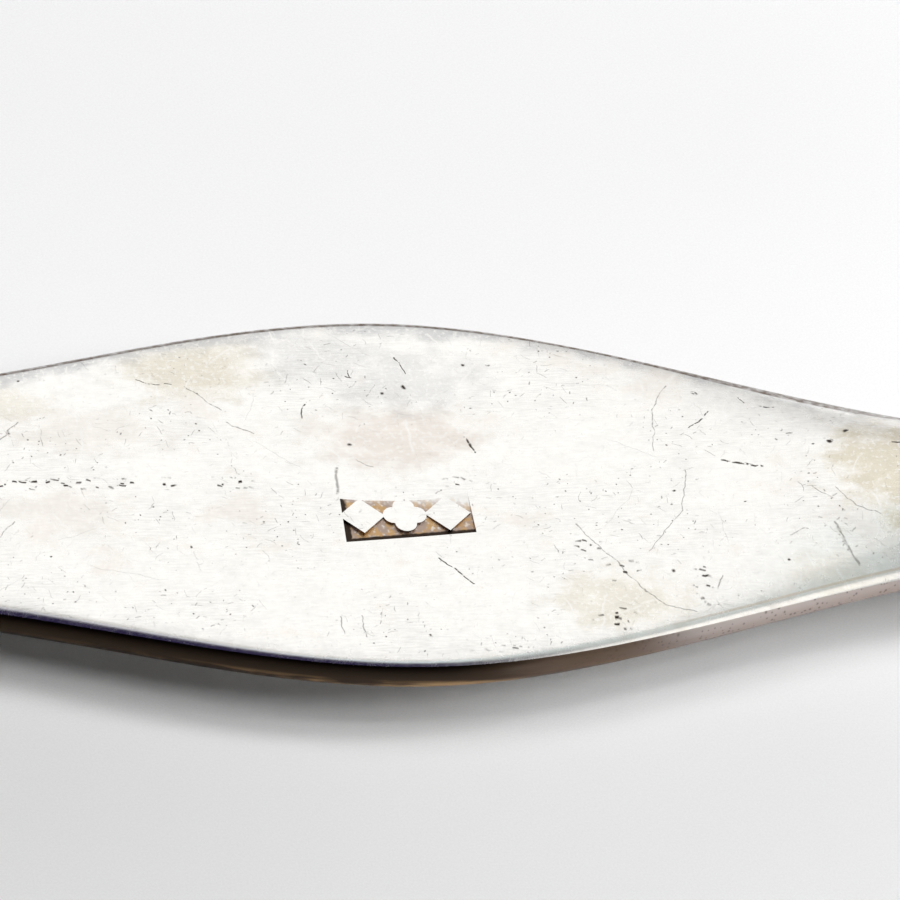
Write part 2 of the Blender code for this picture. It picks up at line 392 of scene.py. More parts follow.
def thicken(obj, gauge):
    """Give a sheet its wall. Slot 0 is its inner face, slot 1 its outer face and slot 2 its edge."""
    for _ in range(3):
        obj.data.materials.append(None)
    slots = {"material_offset": 1, "material_offset_rim": 2}
    apply(obj, "SOLIDIFY", thickness=gauge, offset=0, use_even_offset=True, **slots)


def round_edges(plan, obj, far_end=False):
    """Round the sheet's edges as far as it is thick, but not its ends, unless the far one is asked for."""
    mesh = edit(obj)
    hair = 0.01 * MM
    low = min(point.co.x for point in mesh.verts) + hair
    high = max(point.co.x for point in mesh.verts) + (hair if far_end else -hair)
    layers = mesh.edges.layers.float
    weight = layers.get("bevel_weight_edge") or layers.new("bevel_weight_edge")
    for line in mesh.edges:
        sharp = line.calc_face_angle(0) > math.radians(50)
        places = [point.co.x for point in line.verts]
        at_end = max(places) < low or min(places) > high
        x, y, _ = line.verts[0].co
        line[weight] = plan.roundness(x, y) if sharp and not at_end else 0.0
    apply(obj, "BEVEL", width=plan.edge_round, segments=6, limit_method="WEIGHT", use_clamp_overlap=True)


def smooth(obj):
    """Shade the rounds smooth and the flat faces flat."""
    pick(obj)
    bpy.ops.object.shade_smooth_by_angle(angle=math.radians(35))
    apply(obj, "WEIGHTED_NORMAL", keep_sharp=True, weight=60)


def cut(obj, cutter, operation="DIFFERENCE"):
    """A Boolean with a cutter that is then thrown away."""
    apply(obj, "BOOLEAN", operation=operation, object=cutter, solver="EXACT", material_mode="TRANSFER")
    bpy.data.meshes.remove(cutter.data)


def lay_flat(obj, plan, half_width):
    """Maps of the sheet in millimetres: the place from the belly, the ways to both edges, and the depth."""
    for name in ("lay", "rim", "wall"):
        if name not in obj.data.uv_layers:
            obj.data.uv_layers.new(name=name)
    lay, rim, wall = (obj.data.uv_layers[name].data for name in ("lay", "rim", "wall"))
    for loop in obj.data.loops:
        point = obj.data.vertices[loop.vertex_index].co
        half = half_width(point.x)
        lay[loop.index].uv = ((point.x - plan.belly_at) / MM, point.y / MM)
        rim[loop.index].uv = ((half - point.y) / MM, (half + point.y) / MM)
        wall[loop.index].uv = ((point.z - plan.side_line(point.x)) / MM, 0)


def settle(obj):
    """Put an object's place, turn and scale into its mesh."""
    pick(obj)
    bpy.ops.object.transform_apply(location=True, rotation=True, scale=True)


def new_block(name, low, high):
    """A block between two corners."""
    deselect()
    middle = [(a + b) / 2 for a, b in zip(low, high)]
    bpy.ops.mesh.primitive_cube_add(size=1, location=middle, scale=[b - a for a, b in zip(low, high)])
    block = bpy.context.object
    block.name = block.data.name = name
    settle(block)
    return block


def extrude(mesh, wanted, step):
    """Draw the wanted faces out by a step."""
    take_faces(mesh, wanted)
    bpy.ops.mesh.extrude_region_move(TRANSFORM_OT_translate={"value": step})


def split(point, normal):
    """Score a whole mesh along a plane."""
    bpy.ops.mesh.select_all(action="SELECT")
    bpy.ops.mesh.bisect(plane_co=point, plane_no=normal)


def set_in_lap(block, plan, start, end):
    """Move a block that was modelled about the side line's origin to the slope of a lap."""
    middle = (start + end) / 2
    slope = math.atan2(plan.side_line(end) - plan.side_line(start), end - start)
    block.location = (middle, 0, plan.side_line(middle))
    block.rotation_euler.y = -slope
    settle(block)


def lap_cutter(plan, end, step, inner):
    """A stepped block: it takes off all past the end, and the inner or outer half back to the step."""
    away = 1 if end > step else -1
    spare, reach, wide = 3 * plan.gauge, 4 * plan.gauge, plan.bowl_width
    half = (end - step) / 2
    low, high = sorted((half, half + away * spare))
    block = new_block("lap_cutter", (low, -wide, -reach), (high, wide, reach))
    level = -plan.seam / 2 if inner else plan.seam / 2
    mesh = edit(block)
    split((0, 0, level), (0, 0, 1))

    def on_lap(face):
        middle_z = face.calc_center_median().z
        return face.normal.x * away < -0.9 and (middle_z > level) == inner

    extrude(mesh, on_lap, (step - end, 0, 0))
    set_in_lap(block, plan, *sorted((end, step)))
    return block


def new_strip(plan, name, stations):
    """A flat strip of sheet with the tongs' outline: its faces fall away towards the worn edges."""
    reach = FALL[0][0] * MM
    falls = list(enumerate(reversed(FALL[1:])))
    shares = [-1] * len(falls) + steps(-1, 1, 1 / 6) + [1] * len(falls)
    obj, mesh, rows, columns = new_grid(name, stations, shares)
    for row in rows:
        x = row[0].co.x
        take(row)
        bpy.ops.transform.resize(value=(1, plan.half_width(x) - reach, 1), center_override=(x, 0, 0))
    for index, (inset, _) in falls:
        for column, side in ((columns[index], -1), (columns[-1 - index], 1)):
            take(column)
            bpy.ops.transform.translate(value=(0, side * (reach - inset * MM), 0))
    thicken(obj, plan.gauge)

    mesh = edit(obj)
    for row in rows_of(mesh.verts, lambda co: co.x):
        x = row[0].co.x
        share = plan.strip_gauge(x) / plan.gauge
        if share < 1:
            take(row)
            bpy.ops.transform.resize(value=(1, 1, share), center_override=(x, 0, 0))
    for side, share in ((1, 1.0), (-1, OUTER_FALL)):
        face = columns_of(point for point in mesh.verts if point.co.z * side > 0)
        for index, (_, fall) in falls:
            take([*face[index], *face[-1 - index]])
            bpy.ops.transform.translate(value=(0, 0, -side * share * fall * MM))
    return obj, mesh


def fill_stem(plan, mesh):
    """Round the inner side of the stem: each row is raised in its middle and lowered at its edges."""
    inner = [point for point in mesh.verts if point.co.z > 0]
    for row in rows_of(inner, lambda co: co.x):
        x = row[0].co.x
        if plan.stem_fullness(x) == 0:
            continue
        for pair in rows_of(row, lambda co: abs(co.y)):
            take(pair)
            bpy.ops.transform.translate(value=(0, 0, plan.stem_gain(x, pair[0].co.y)))


def raise_rows(plan, mesh):
    """Raise each row to the side line."""
    for row in rows_of(mesh.verts, lambda co: co.x):
        height = plan.side_line(row[0].co.x)
        if height:
            take(row)
            bpy.ops.transform.translate(value=(0, 0, height))


def set_down(obj, place):
    """Put a finished piece in its place, with the place in its mesh."""
    obj.matrix_world = place
    settle(obj)


def twin(obj, name):
    """A copy with a mesh of its own."""
    pick(obj)
    bpy.ops.object.duplicate(linked=False)
    copy = bpy.context.object
    copy.name = copy.data.name = name
    return copy


def finish_with(obj, *materials):
    """Fill the slots of a piece with its finishes; a single one goes all over it."""
    if len(materials) == 1:
        obj.data.materials.clear()
        obj.data.materials.append(materials[0])
    for slot, material in enumerate(materials):
        obj.data.materials[slot] = material


def dress(obj, body, slot, *nodes):
    """Let a piece ride on its body and stand for its solids."""
    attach(obj, body)
    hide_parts(*nodes)


# Shader maths


class Shade:
    """A shader value. Sums and products of shades add their Math nodes to the same material."""

    def __init__(self, tree, socket=None):
        self.tree = tree
        self.socket = socket

    def node(self, kind, settings=None, inputs=None, output=0):
        """Add any node: its settings come first, then the values or links of its sockets."""
        node = self.tree.nodes.new(kind)
        for name, value in (settings or {}).items():
            setattr(node, name, value)
        self.feed(node, inputs or {})
        return Shade(self.tree, node.outputs[output])

    def feed(self, node, inputs):
        """Set or link the sockets of a node."""
        for key, value in inputs.items():
            if isinstance(value, Shade):
                self.tree.links.new(value.socket, node.inputs[key])
            else:
                node.inputs[key].default_value = value

    def also(self, output):
        """Another output of the same node."""
        return Shade(self.tree, self.socket.node.outputs[output])

    def math(self, operation, *values):
        return self.node("ShaderNodeMath", {"operation": operation}, dict(enumerate(values)))

    def vector(self, operation, *values, output=0):
        return self.node("ShaderNodeVectorMath", {"operation": operation}, dict(enumerate(values)), output)

    def __add__(self, other):
        return self.math("ADD", self, other)

    def __sub__(self, other):
        return self.math("SUBTRACT", self, other)

    def __rsub__(self, other):
        return self.math("SUBTRACT", other, self)

    def __mul__(self, other):
        return self.math("MULTIPLY", self, other)

    def __truediv__(self, other):
        return self.math("DIVIDE", self, other)

    def __abs__(self):
        return self.math("ABSOLUTE", self)

    __radd__ = __add__
    __rmul__ = __mul__

    def below(self, limit):
        return self.math("LESS_THAN", self, limit)

    def clamped(self):
        return self.node("ShaderNodeClamp", {}, {0: self})

    def most(self, other):
        return self.math("MAXIMUM", self, other)

    def least(self, other):
        return self.math("MINIMUM", self, other)

    def times(self, vector):
        """A vector or a colour, with each of its parts times this value."""
        return self.node("ShaderNodeVectorMath", {"operation": "SCALE"}, {0: vector, "Scale": self})

    def between(self, low, high):
        """Smoothly from 0 at low to 1 at high."""
        settings = {"interpolation_type": "SMOOTHSTEP", "clamp": False}
        return self.node("ShaderNodeMapRange", settings, {0: self, 1: low, 2: high})

    def parts(self):
        """The x and y of a vector."""
        x = self.node("ShaderNodeSeparateXYZ", {}, {0: self})
        return x, x.also(1)

    def tint(self, colour_a, colour_b):
        """This value's share of colour b over colour a."""
        return self.node("ShaderNodeMix", {"data_type": "RGBA"}, {0: self, 6: colour_a, 7: colour_b}, 2)


def noise(place, seed, scale, detail, stretch=(1, 1), turn=0.0):
    """Soft noise on the flat sheet, in grains to the millimetre, stretched along a turned line."""
    shift = (seed, 2.3 * seed, 0)
    turned = place.node("ShaderNodeMapping", {}, {0: place, 1: shift, 2: (0, 0, turn), 3: (*stretch, 1)})
    inputs = {"Vector": turned, "Scale": scale, "Detail": detail}
    return place.node("ShaderNodeTexNoise", {"noise_dimensions": "2D"}, inputs)


def scatter(place, seed, cell):
    """Scattered points, one to a cell: the way from the nearest one, and three chances that belong to it."""
    shifted = place.vector("ADD", place, (seed, 1.7 * seed, 0))
    settings = {"voronoi_dimensions": "2D", "feature": "F1"}
    cells = place.node("ShaderNodeTexVoronoi", settings, {"Vector": shifted, "Scale": 1 / cell}, "Position")
    away = place.vector("SUBTRACT", shifted, cells)
    red = place.node("ShaderNodeSeparateColor", {}, {0: cells.also("Color")})
    return away, (red, red.also(1), red.also(2))


def hairs(place, seed, cell, reach, width, share, lean, spread, bow=0.0):
    """Hair scratches: one in some of the cells, each with its own angle, length and depth."""
    away, (first, second, third) = scatter(place, seed, cell)
    turn = (first - 0.5) * spread + lean
    x, y = away.parts()
    cosine = turn.math("COSINE", turn)
    sine = turn.math("SINE", turn)
    along = x * cosine + y * sine
    across = y * cosine - x * sine
    if bow:
        across = across + along * along * ((second - 0.5) * bow)
    line = 1 - abs(across) / width
    end = ((second * 0.7 + 0.3) * reach - abs(along)) / (0.25 * reach)
    return line.clamped() * end.clamped() * third.below(share) * (first * 0.6 + 0.4)


def pits(place, seed, cell, radius, share):
    """Small round pits, one in some of the cells."""
    away, (first, second, third) = scatter(place, seed, cell)
    off = away.vector("LENGTH", away, output="Value")
    return (1.3 - off / ((second + 0.25) * radius)).clamped() * third.below(share)


def blot(place, middle, half, ragged):
    """A soft patch on the sheet with a ragged border."""
    off = place.vector("SUBTRACT", place, (*middle, 0))
    off = off.vector("DIVIDE", off, (*half, 1))
    return (off.vector("LENGTH", off, output="Value") + (ragged - 0.5) * 1.4).between(1.15, 0.35)


def gap_to(place, start, end):
    """How far off a straight line from start to end is."""
    run = Vector(end) - Vector(start)
    off = place.vector("SUBTRACT", place, (*start, 0))
    share = off.vector("DOT_PRODUCT", off, (*(run / run.length_squared), 0), output="Value").clamped()
    return off.vector("DISTANCE", off, share.times((*run, 0)), output="Value")


def streaks(place, marks):
    """Scratches, each with its start, end and half width."""
    gaps = (gap_to(place, start, end) / width for start, end, width in marks)
    return (1.3 - reduce(Shade.least, gaps)).clamped()


def new_material(name):
    """A material, its shader, and a shade to start its nodes from."""
    material = bpy.data.materials.new(name)
    material.use_nodes = True
    shader = material.node_tree.nodes["Principled BSDF"]
    return material, shader, Shade(material.node_tree)


def map_of(start, name):
    """One of the maps that lay_flat makes."""
    return start.node("ShaderNodeUVMap", {"uv_map": name})


# Old marks on the lower arm's inner face, in millimetres from the middle of the finger swell: start, end and
# half width of the deep and the faint scratches
DEEP_MARKS = (
    ((9.8, 0.63), (10.86, 0.28), 0.05),
    ((0.94, -2.84), (1.84, -3.84), 0.026),
    ((-7.08, 4.44), (-6.55, 4.2), 0.022),
    ((-6.55, 4.2), (-6.01, 4.2), 0.02),
    ((2.28, 2.0), (2.61, 1.39), 0.038),
    ((0.69, 5.28), (0.9, 4.64), 0.02),
    ((0.14, 3.8), (0.16, 3.8), 0.06),
    ((0.79, 4.08), (0.83, 4.02), 0.06),
    ((13.04, 1.25), (13.12, 1.29), 0.065),
    ((13.59, 1.78), (13.66, 1.82), 0.065),
    ((9.42, 3.7), (9.48, 3.68), 0.06),
    ((2.68, 4.98), (2.7, 4.98), 0.055),
    ((3.42, 4.96), (3.46, 4.96), 0.045),
    ((10.8, 3.48), (10.88, 3.25), 0.024),
    ((11.27, 3.05), (11.7, 3.02), 0.026),
    ((11.38, 3.02), (11.48, 3.0), 0.03),
    ((11.8, 1.68), (11.98, 1.72), 0.028),
    ((9.03, 2.1), (9.72, 2.75), 0.024),
    ((14.9, 1.1), (15.3, 1.1), 0.035),
    ((11.14, -3.12), (11.18, -3.12), 0.04),
    ((-1.1, 4.6), (-0.75, 4.45), 0.024),
    ((-0.78, 4.78), (-0.78, 4.45), 0.02),
    ((-2.2, 3.46), (-2.35, 2.84), 0.022),
)
FAINT_MARKS = (
    ((12.7, -1.92), (13.27, -3.19), 0.034),
    ((6.12, -3.21), (6.63, -4.04), 0.022),
    ((8.67, 4.06), (8.2, 3.3), 0.018),
    ((8.2, 3.3), (7.98, 2.48), 0.018),
    ((7.98, 2.48), (7.83, 1.2), 0.016),
    ((8.65, 0.3), (8.27, -1.28), 0.018),
    ((8.27, -1.28), (7.08, -2.78), 0.016),
    ((5.09, -1.63), (6.12, -3.21), 0.018),
    ((6.63, -4.04), (7.34, -4.76), 0.022),
    ((7.34, -4.76), (8.18, -4.91), 0.02),
    ((-5.65, 4.12), (-4.72, 3.15), 0.022),
    ((-4.61, 2.67), (-3.85, 2.19), 0.022),
    ((-2.23, -5.01), (-2.21, -5.73), 0.022),
    ((-1.61, -5.01), (-1.61, -5.9), 0.02),
    ((-11.37, 1.91), (-10.7, 2.75), 0.022),
    ((-11.88, -1.95), (-11.2, -1.31), 0.022),
    ((12.19, -0.61), (12.76, -1.03), 0.02),
    ((12.92, -0.69), (13.37, -1.31), 0.02),
    ((13.37, -1.31), (14.13, -1.6), 0.018),
    ((11.3, -2.27), (11.9, -2.1), 0.018),
    ((8.9, -4.13), (9.13, -3.71), 0.02),
    ((-0.99, 1.15), (-0.54, 0.8), 0.018),
    ((-1.66, -0.2), (-1.64, 0.75), 0.05),
)
# Patches of haze, and crowds of small scratches: middle, half sizes and, of the patches, depth
PINK_BLOTS = (
    ((0.4, 2.0), (3.0, 1.5), 0.8),
    ((-9.7, -0.75), (1.9, 1.0), 0.45),
    ((-8.6, 2.3), (3.0, 1.1), 0.4),
)
BEIGE_BLOTS = (
    ((-5.4, 4.9), (2.5, 1.5), 0.8),
    ((-11.2, 3.5), (2.0, 0.8), 0.45),
    ((6.0, -4.6), (2.4, 1.3), 0.65),
    ((12.4, -3.4), (1.6, 0.7), 0.35),
    ((15.8, 0.2), (3.4, 2.8), 1.2),
    ((14.9, -0.6), (1.3, 1.2), 1.2),
)
GREY_BLOTS = (
    ((0.9, 4.3), (2.8, 1.5), 0.4),
    ((-1.6, 5.2), (2.2, 1.3), 0.4),
)
CROWDS = (
    ((6.3, -3.6), (0.6, 0.5)),
    ((5.9, -5.3), (0.7, 0.5)),
    ((1.9, 0.2), (0.5, 0.25)),
    ((8.55, -3.9), (0.3, 1.0)),
    ((2.6, -6.45), (1.1, 0.3)),
    ((5.4, -2.5), (0.5, 0.6)),
)


def patches(place, blots, ragged):
    """The deepest of several patches."""
    return reduce(Shade.most, (blot(place, middle, half, ragged) * depth for middle, half, depth in blots))


def wear_of(start, seed):
    """The places on a face, and the uneven wear that its finish is made from."""
    flat = map_of(start, "lay")
    far, near = map_of(start, "rim").parts()
    inputs = {"Vector": flat, "Scale": 1.8, "Detail": 2.5}
    wobble = start.node("ShaderNodeTexNoise", {"noise_dimensions": "2D"}, inputs, "Color")
    stray = 0.24  # how far a scratch's line strays, in millimetres from side to side
    middle = flat.vector("SUBTRACT", flat, (stray / 2, stray / 2, 0))
    return SimpleNamespace(
        seed=seed,
        flat=flat,
        place=flat.vector("MULTIPLY_ADD", wobble, (stray, stray, 0), middle),
        far=far,
        near=near,
        cloud=noise(flat, seed, 0.30, 3.0),
        hazy=noise(flat, seed + 31, 1.1, 7.0, stretch=(0.8, 1.2), turn=0.2),
        grain=noise(flat, seed + 11, 4.0, 6.0),
        rubbed=noise(flat, seed + 23, 1.0, 5.0, stretch=(1.9, 15.0), turn=0.06),
        patchy=noise(flat, seed + 41, 0.36, 6.0).between(0.44, 0.62),
    )


def haze_over(wear, colours, marked):
    """Silver under its pink, beige and grey haze, and how deep the pink one is."""
    flat, place, seed, hazy, cloud = wear.flat, wear.place, wear.seed, wear.hazy, wear.cloud
    scored = hairs(place, seed + 29, 1.2, reach=1.0, width=0.06, share=0.75, lean=0.9, spread=2.8) * 0.9
    bare = 1 - scored.most(noise(flat, seed + 53, 7.0, 6.0).between(0.50, 0.72) * 0.6)
    haze = (cloud + (hazy - 0.5) * 0.8).between(0.55, 0.85) * 0.5
    if marked:
        haze = haze.most(patches(flat, PINK_BLOTS, hazy))
    tone = (haze * bare).clamped().tint(colours.silver, colours.tarnish)
    dull = (wear.far + (hazy - 0.5) * 1.3 + (cloud - 0.5) * 0.8).between(1.05, 0.30) * 0.85
    if marked:
        tone = (patches(flat, BEIGE_BLOTS, hazy) * bare).clamped().tint(tone, colours.beige)
        dull = dull.most(patches(flat, GREY_BLOTS, hazy))
    dull = (dull * bare).most((wear.near + (hazy - 0.5) * 0.9).between(0.7, 0.2) * 0.2)
    return dull.clamped().tint(tone, colours.rim), haze


def dirt_in(wear):
    """Dark matter in hair scratches, nicks and pits, thicker in some patches."""
    place, seed = wear.place, wear.seed
    long_hairs = hairs(
        place, seed + 3, 2.6, reach=1.5, width=0.014, share=0.4, lean=0.2, spread=5.5, bow=0.3
    ) * 0.35
    short_hairs = hairs(
        place, seed + 5, 0.5, reach=0.24, width=0.018, share=0.65, lean=0.4, spread=4.4
    ) * 0.62
    nicks = hairs(place, seed + 13, 0.4, reach=0.09, width=0.026, share=0.45, lean=0.5, spread=2.0) * 0.8
    specks = pits(place, seed + 17, 0.30, radius=0.027, share=0.3) * 0.9
    dots = pits(place, seed + 19, 1.7, radius=0.05, share=0.16)
    return long_hairs.most(short_hairs.most(nicks).most(specks) * (wear.patchy * 0.8 + 0.15)).most(dots)


def dirt_in_marks(wear):
    """Dark matter in the old marks: the scratches, a broken row of nicks and the crowds of small ones."""
    flat, place = wear.flat, wear.place
    broken = noise(flat, 77.0, 7.0, 3.0).between(0.36, 0.50)
    deep = streaks(place, DEEP_MARKS) * broken
    faint = streaks(place, FAINT_MARKS) * (broken * 0.3 + 0.25)
    x, y = flat.parts()
    row = abs(y - 0.22).between(0.30, 0.12) * x.between(-4.0, -4.3)
    row = row * (1 - x.between(-6.5, -6.3) * x.between(-5.3, -5.5))
    crowded = reduce(Shade.most, (blot(flat, middle, half, wear.hazy) for middle, half in CROWDS), row)
    nicks = hairs(place, 4.0, 0.24, reach=0.12, width=0.055, share=0.7, lean=-0.25, spread=0.8) * 1.6
    return deep.most(faint).most(nicks * crowded)


def worn_silver(name, colours, seed, marked=False):
    """Old polished silver: rubbed lines, hair scratches, pits and a haze of tarnish."""
    material, shader, start = new_material(name)
    wear = wear_of(start, seed)
    far, near, grain, patchy = wear.far, wear.near, wear.grain, wear.patchy
    tone, haze = haze_over(wear, colours, marked)
    lines = (wear.rubbed - 0.5) * (0.10 + patchy * 0.14)
    shade = 0.99 - patchy * 0.03 + (grain - 0.5) * 0.15 + (wear.hazy - 0.5) * 0.15 + lines
    tone = shade.times(tone)

    dirt = dirt_in(wear)
    if marked:
        dirt = dirt.most(dirt_in_marks(wear))
    tone = (dirt * near.between(0.3, 0.55)).clamped().tint(tone, colours.dirt)
    if marked:
        along = wear.flat.parts()[0]
        bevel = abs(near - 0.31).between(0.05, 0.02) * along.between(6.0, 10.0) * 0.3
        tone = bevel.tint(tone, colours.ochre)
        far = far - along.between(6.5, 14.5) * 0.32
    brown = far.between(0.385, 0.32) * (0.75 + (grain - 0.5) * 2.0)
    tone = brown.clamped().tint(tone, colours.worn_rim)

    shine = 0.25 + (grain - 0.5) * 0.14 + haze * 0.12 + dirt * 0.2
    height = (wear.rubbed - 0.5) * 0.4 + (grain - 0.5) * 0.4
    normal = start.node("ShaderNodeBump", {}, {"Strength": 0.3, "Distance": 0.00001, "Height": height})
    start.feed(shader, {"Base Color": tone, "Roughness": shine, "Normal": normal, "Metallic": 1.0})
    return material


def tarnished_edge(name, colours, seed):
    """The cut edge of the sheet: dark tarnish with an ochre foot, rubbed thinner towards the stem.

    Its dark bow side and lighter stem side are partly painted reflection of the shaded and the lit floor,
    and its wall is painted darker at the top towards the bow and lighter at the top towards the stem.
    """
    material, shader, start = new_material(name)
    place = start.node("ShaderNodeTexCoord", {}, {}, "Object")
    stretched = start.node("ShaderNodeMapping", {}, {0: place, 1: (seed, 0, 0), 3: (400, 400, 3000)})
    blotch = start.node("ShaderNodeTexNoise", {}, {"Vector": stretched, "Scale": 1.0, "Detail": 4.0})
    along = map_of(start, "lay").parts()[0]
    depth = map_of(start, "wall").parts()[0]
    # Partly tarnish rubbed thinner, partly painted reflection: dark by the shaded floor, light by the lit one
    rubbed = (along + (blotch - 0.5) * 5.0).between(1.0, 11.0)
    tone = rubbed.tint(colours.edge, colours.rubbed_edge)
    # level runs from 0 at the top of the wall to 1 at its foot
    level = depth.between(0.45, -0.25)
    # Painted reflection: towards the stem the top of the wall is tinted grey
    tone = (rubbed * (1 - level) * 0.5).tint(tone, colours.rim)
    # Painted shade: towards the bow the wall darkens to its top, towards the stem it lightens to its top
    bow_side_painted_shade, stem_side_painted_shade = level * 0.8 + 0.2, 1.25 - level * 0.5
    tone = (bow_side_painted_shade + (stem_side_painted_shade - bow_side_painted_shade) * rubbed).times(tone)
    lower = depth.between(-0.05, -0.35) * blotch.between(0.38, 0.56)
    stained = along.between(-14.0, 0.0) * (1 - along.between(4.0, 9.0)) * 0.75 + 0.06
    tone = (lower * stained).tint(tone, colours.ochre)
    brown = along.between(0.5, 5.0) * (1 - along.between(6.0, 8.6)) * 0.75
    tone = (brown * (blotch + 0.5)).clamped().tint(tone, colours.worn_rim)
    wall = start.node("ShaderNodeCombineXYZ", {}, {0: along, 1: depth})
    specks = pits(wall, seed, 0.16, radius=0.04, share=0.5)
    tone = (specks * rubbed * 0.6).tint(tone, colours.edge)
    start.feed(shader, {"Base Color": tone, "Roughness": 0.3 + blotch * 0.2, "Metallic": 1.0})
    return material


def punch_ground(name, colours):
    """Ground of the worn punch: brown and ochre tarnish, and dark matter caught along its deep sides."""
    material, shader, start = new_material(name)
    place = map_of(start, "lay")
    grain = noise(place, 5.0, 2.6, 5.0)
    fine = noise(place, 15.0, 7.0, 4.0)
    x, y = place.parts()
    deep = (-0.1 - x * 0.06 - y * 0.5).clamped()
    tone = grain.between(0.42, 0.6).tint(colours.umber, colours.ochre)
    tone = (fine.between(0.52, 0.72) * 0.55).tint(tone, colours.silver)
    tone = (deep + (fine - 0.5) * 0.4).between(0.0, 0.3).tint(colours.silver, tone)
    corner, foot, head = PUNCH[0], PUNCH[1], PUNCH[3]
    caught = streaks(place, ((corner, foot, 0.22), (corner, head, 0.2))) * (deep * 1.5 + 0.15)
    caught = (caught + (fine - 0.5) * 0.5).between(0.15, 0.5)
    tone = caught.tint(tone, colours.dirt)
    start.feed(shader, {"Base Color": tone, "Roughness": 0.32 + grain * 0.2, "Metallic": 1.0})
    return material


def soldered(name, colours):
    """Silver solder filed flush, a little yellower than the sheet and pitted."""
    material, shader, start = new_material(name)
    place = map_of(start, "lay")
    grain = noise(place, 7.0, 5.0, 5.0)
    holes = pits(place, 2.0, 0.4, radius=0.05, share=0.4)
    tone = (grain.between(0.45, 0.75) * 0.5).tint(colours.solder, colours.tarnish)
    tone = holes.tint(tone, colours.dirt)
    start.feed(shader, {"Base Color": tone, "Roughness": 0.3 + grain * 0.2, "Metallic": 1.0})
    return material


def paper(name, colours):
    """Pale matt paper with a faint tooth."""
    material, shader, start = new_material(name)
    place = start.node("ShaderNodeTexCoord", {}, {}, "Object")
    tooth = start.node("ShaderNodeTexNoise", {}, {"Vector": place, "Scale": 16000.0, "Detail": 3.0})
    mid_grey = (0.5, 0.5, 0.5, 1)
    tone = (tooth.between(0.3, 0.7) * 0.10).tint(colours.floor, mid_grey)
    start.feed(shader, {"Base Color": tone, "Roughness": 0.95, "Specular IOR Level": 0.1})
    return material


def shared_material(name, make, *values):
    """A finish that several pieces share is made once."""
    return bpy.data.materials.get(name) or make(name, *values)


def silver_over(obj, colours, name, seed):
    """Finish a piece of sheet: its own inner face, and the outer face and edge that all of them share."""
    back = shared_material("worn_silver_outside", worn_silver, colours, 57.0)
    edge = shared_material("tarnished_edge", tarnished_edge, colours, 3.0)
    finish_with(obj, worn_silver(name, colours, seed), back, edge)


# The punch struck on the finger swell, in millimetres from its middle: the corners of a plain worn field, how
# deep each lies, and what stands in it, two lozenges and the petals of a flower: middle, sides and radius
PUNCH = ((-1.68, -2.16), (2.17, -1.83), (2.1, 0.1), (-1.65, 0.1))
PUNCH_DEPTHS = (0.16, 0.09, -0.05, -0.05)
PUNCH_STUDS = (
    ((-1.1, -1.12), 4, 0.68),
    ((1.42, -1.05), 4, 0.68),
    ((0.16, -1.42), 20, 0.32),
    ((0.16, -0.78), 20, 0.32),
    ((-0.16, -1.1), 20, 0.32),
    ((0.48, -1.1), 20, 0.32),
)


def strike_punch(arm, plan, material):
    """Cut the punch into an arm's inner face: a wedge, deepest at one corner, less what stands in it."""
    face = plan.gauge / 2
    cutter = new_block("punch", (-1, -1, -1), (1, 1, 1))
    mesh = edit(cutter)
    for point in mesh.verts:
        corner = {(-1, -1): 0, (1, -1): 1, (1, 1): 2, (-1, 1): 3}[(round(point.co.x), round(point.co.y))]
        x, y = PUNCH[corner]
        z = face + 0.5 * MM if point.co.z > 0 else face - PUNCH_DEPTHS[corner] * MM
        take([point])
        target = Vector((plan.belly_at + x * MM, y * MM, z))
        bpy.ops.transform.translate(value=target - point.co)
    deselect()
    finish_with(cutter, material)
    for (x, y), sides, size in PUNCH_STUDS:
        deselect()
        bpy.ops.mesh.primitive_cylinder_add(
            vertices=sides, radius=size * MM, depth=2 * MM, location=(plan.belly_at + x * MM, y * MM, face)
        )
        stud = bpy.context.object
        finish_with(stud, material)
        settle(stud)
        cut(cutter, stud)
    cut(arm, cutter)


# Operators, one to a piece or group of like pieces


class TONGS_OT_arms(bpy.types.Operator):
    """Model the arms with their finger swells and stems, and strike the worn punch on the lower one"""

    bl_idname = "tongs.arms"
    bl_label = "Arms"

    def execute(self, context):
        plan, colours = read_settings(context)
        spare = 2 * plan.gauge
        stations = steps(plan.bow_lap_at - spare, plan.bowl_lap_end + spare, ROW)
        arm, mesh = new_strip(plan, "upper_arm_strip", stations)
        fill_stem(plan, mesh)
        raise_rows(plan, mesh)
        round_edges(plan, arm)
        silver_over(arm, colours, "worn_silver_inside", 71.0)
        cut(arm, lap_cutter(plan, plan.bow_lap_at, plan.bow_lap_end + plan.seam, True))
        cut(arm, lap_cutter(plan, plan.bowl_lap_end, plan.bowl_lap_at - plan.seam, True))

        lower = twin(arm, "lower_arm_strip")
        strike_punch(lower, plan, punch_ground("punch_ground", colours))
        lower.data.materials[0] = worn_silver("worn_silver_struck", colours, 0.0, marked=True)
        for side, obj in zip(SIDES, (lower, arm)):
            lay_flat(obj, plan, plan.half_width)
            smooth(obj)
            set_down(obj, plan.line_place(side))
            dress(obj, f"{side}_arm", "silver", f"{side}_arm")
        return {"FINISHED"}


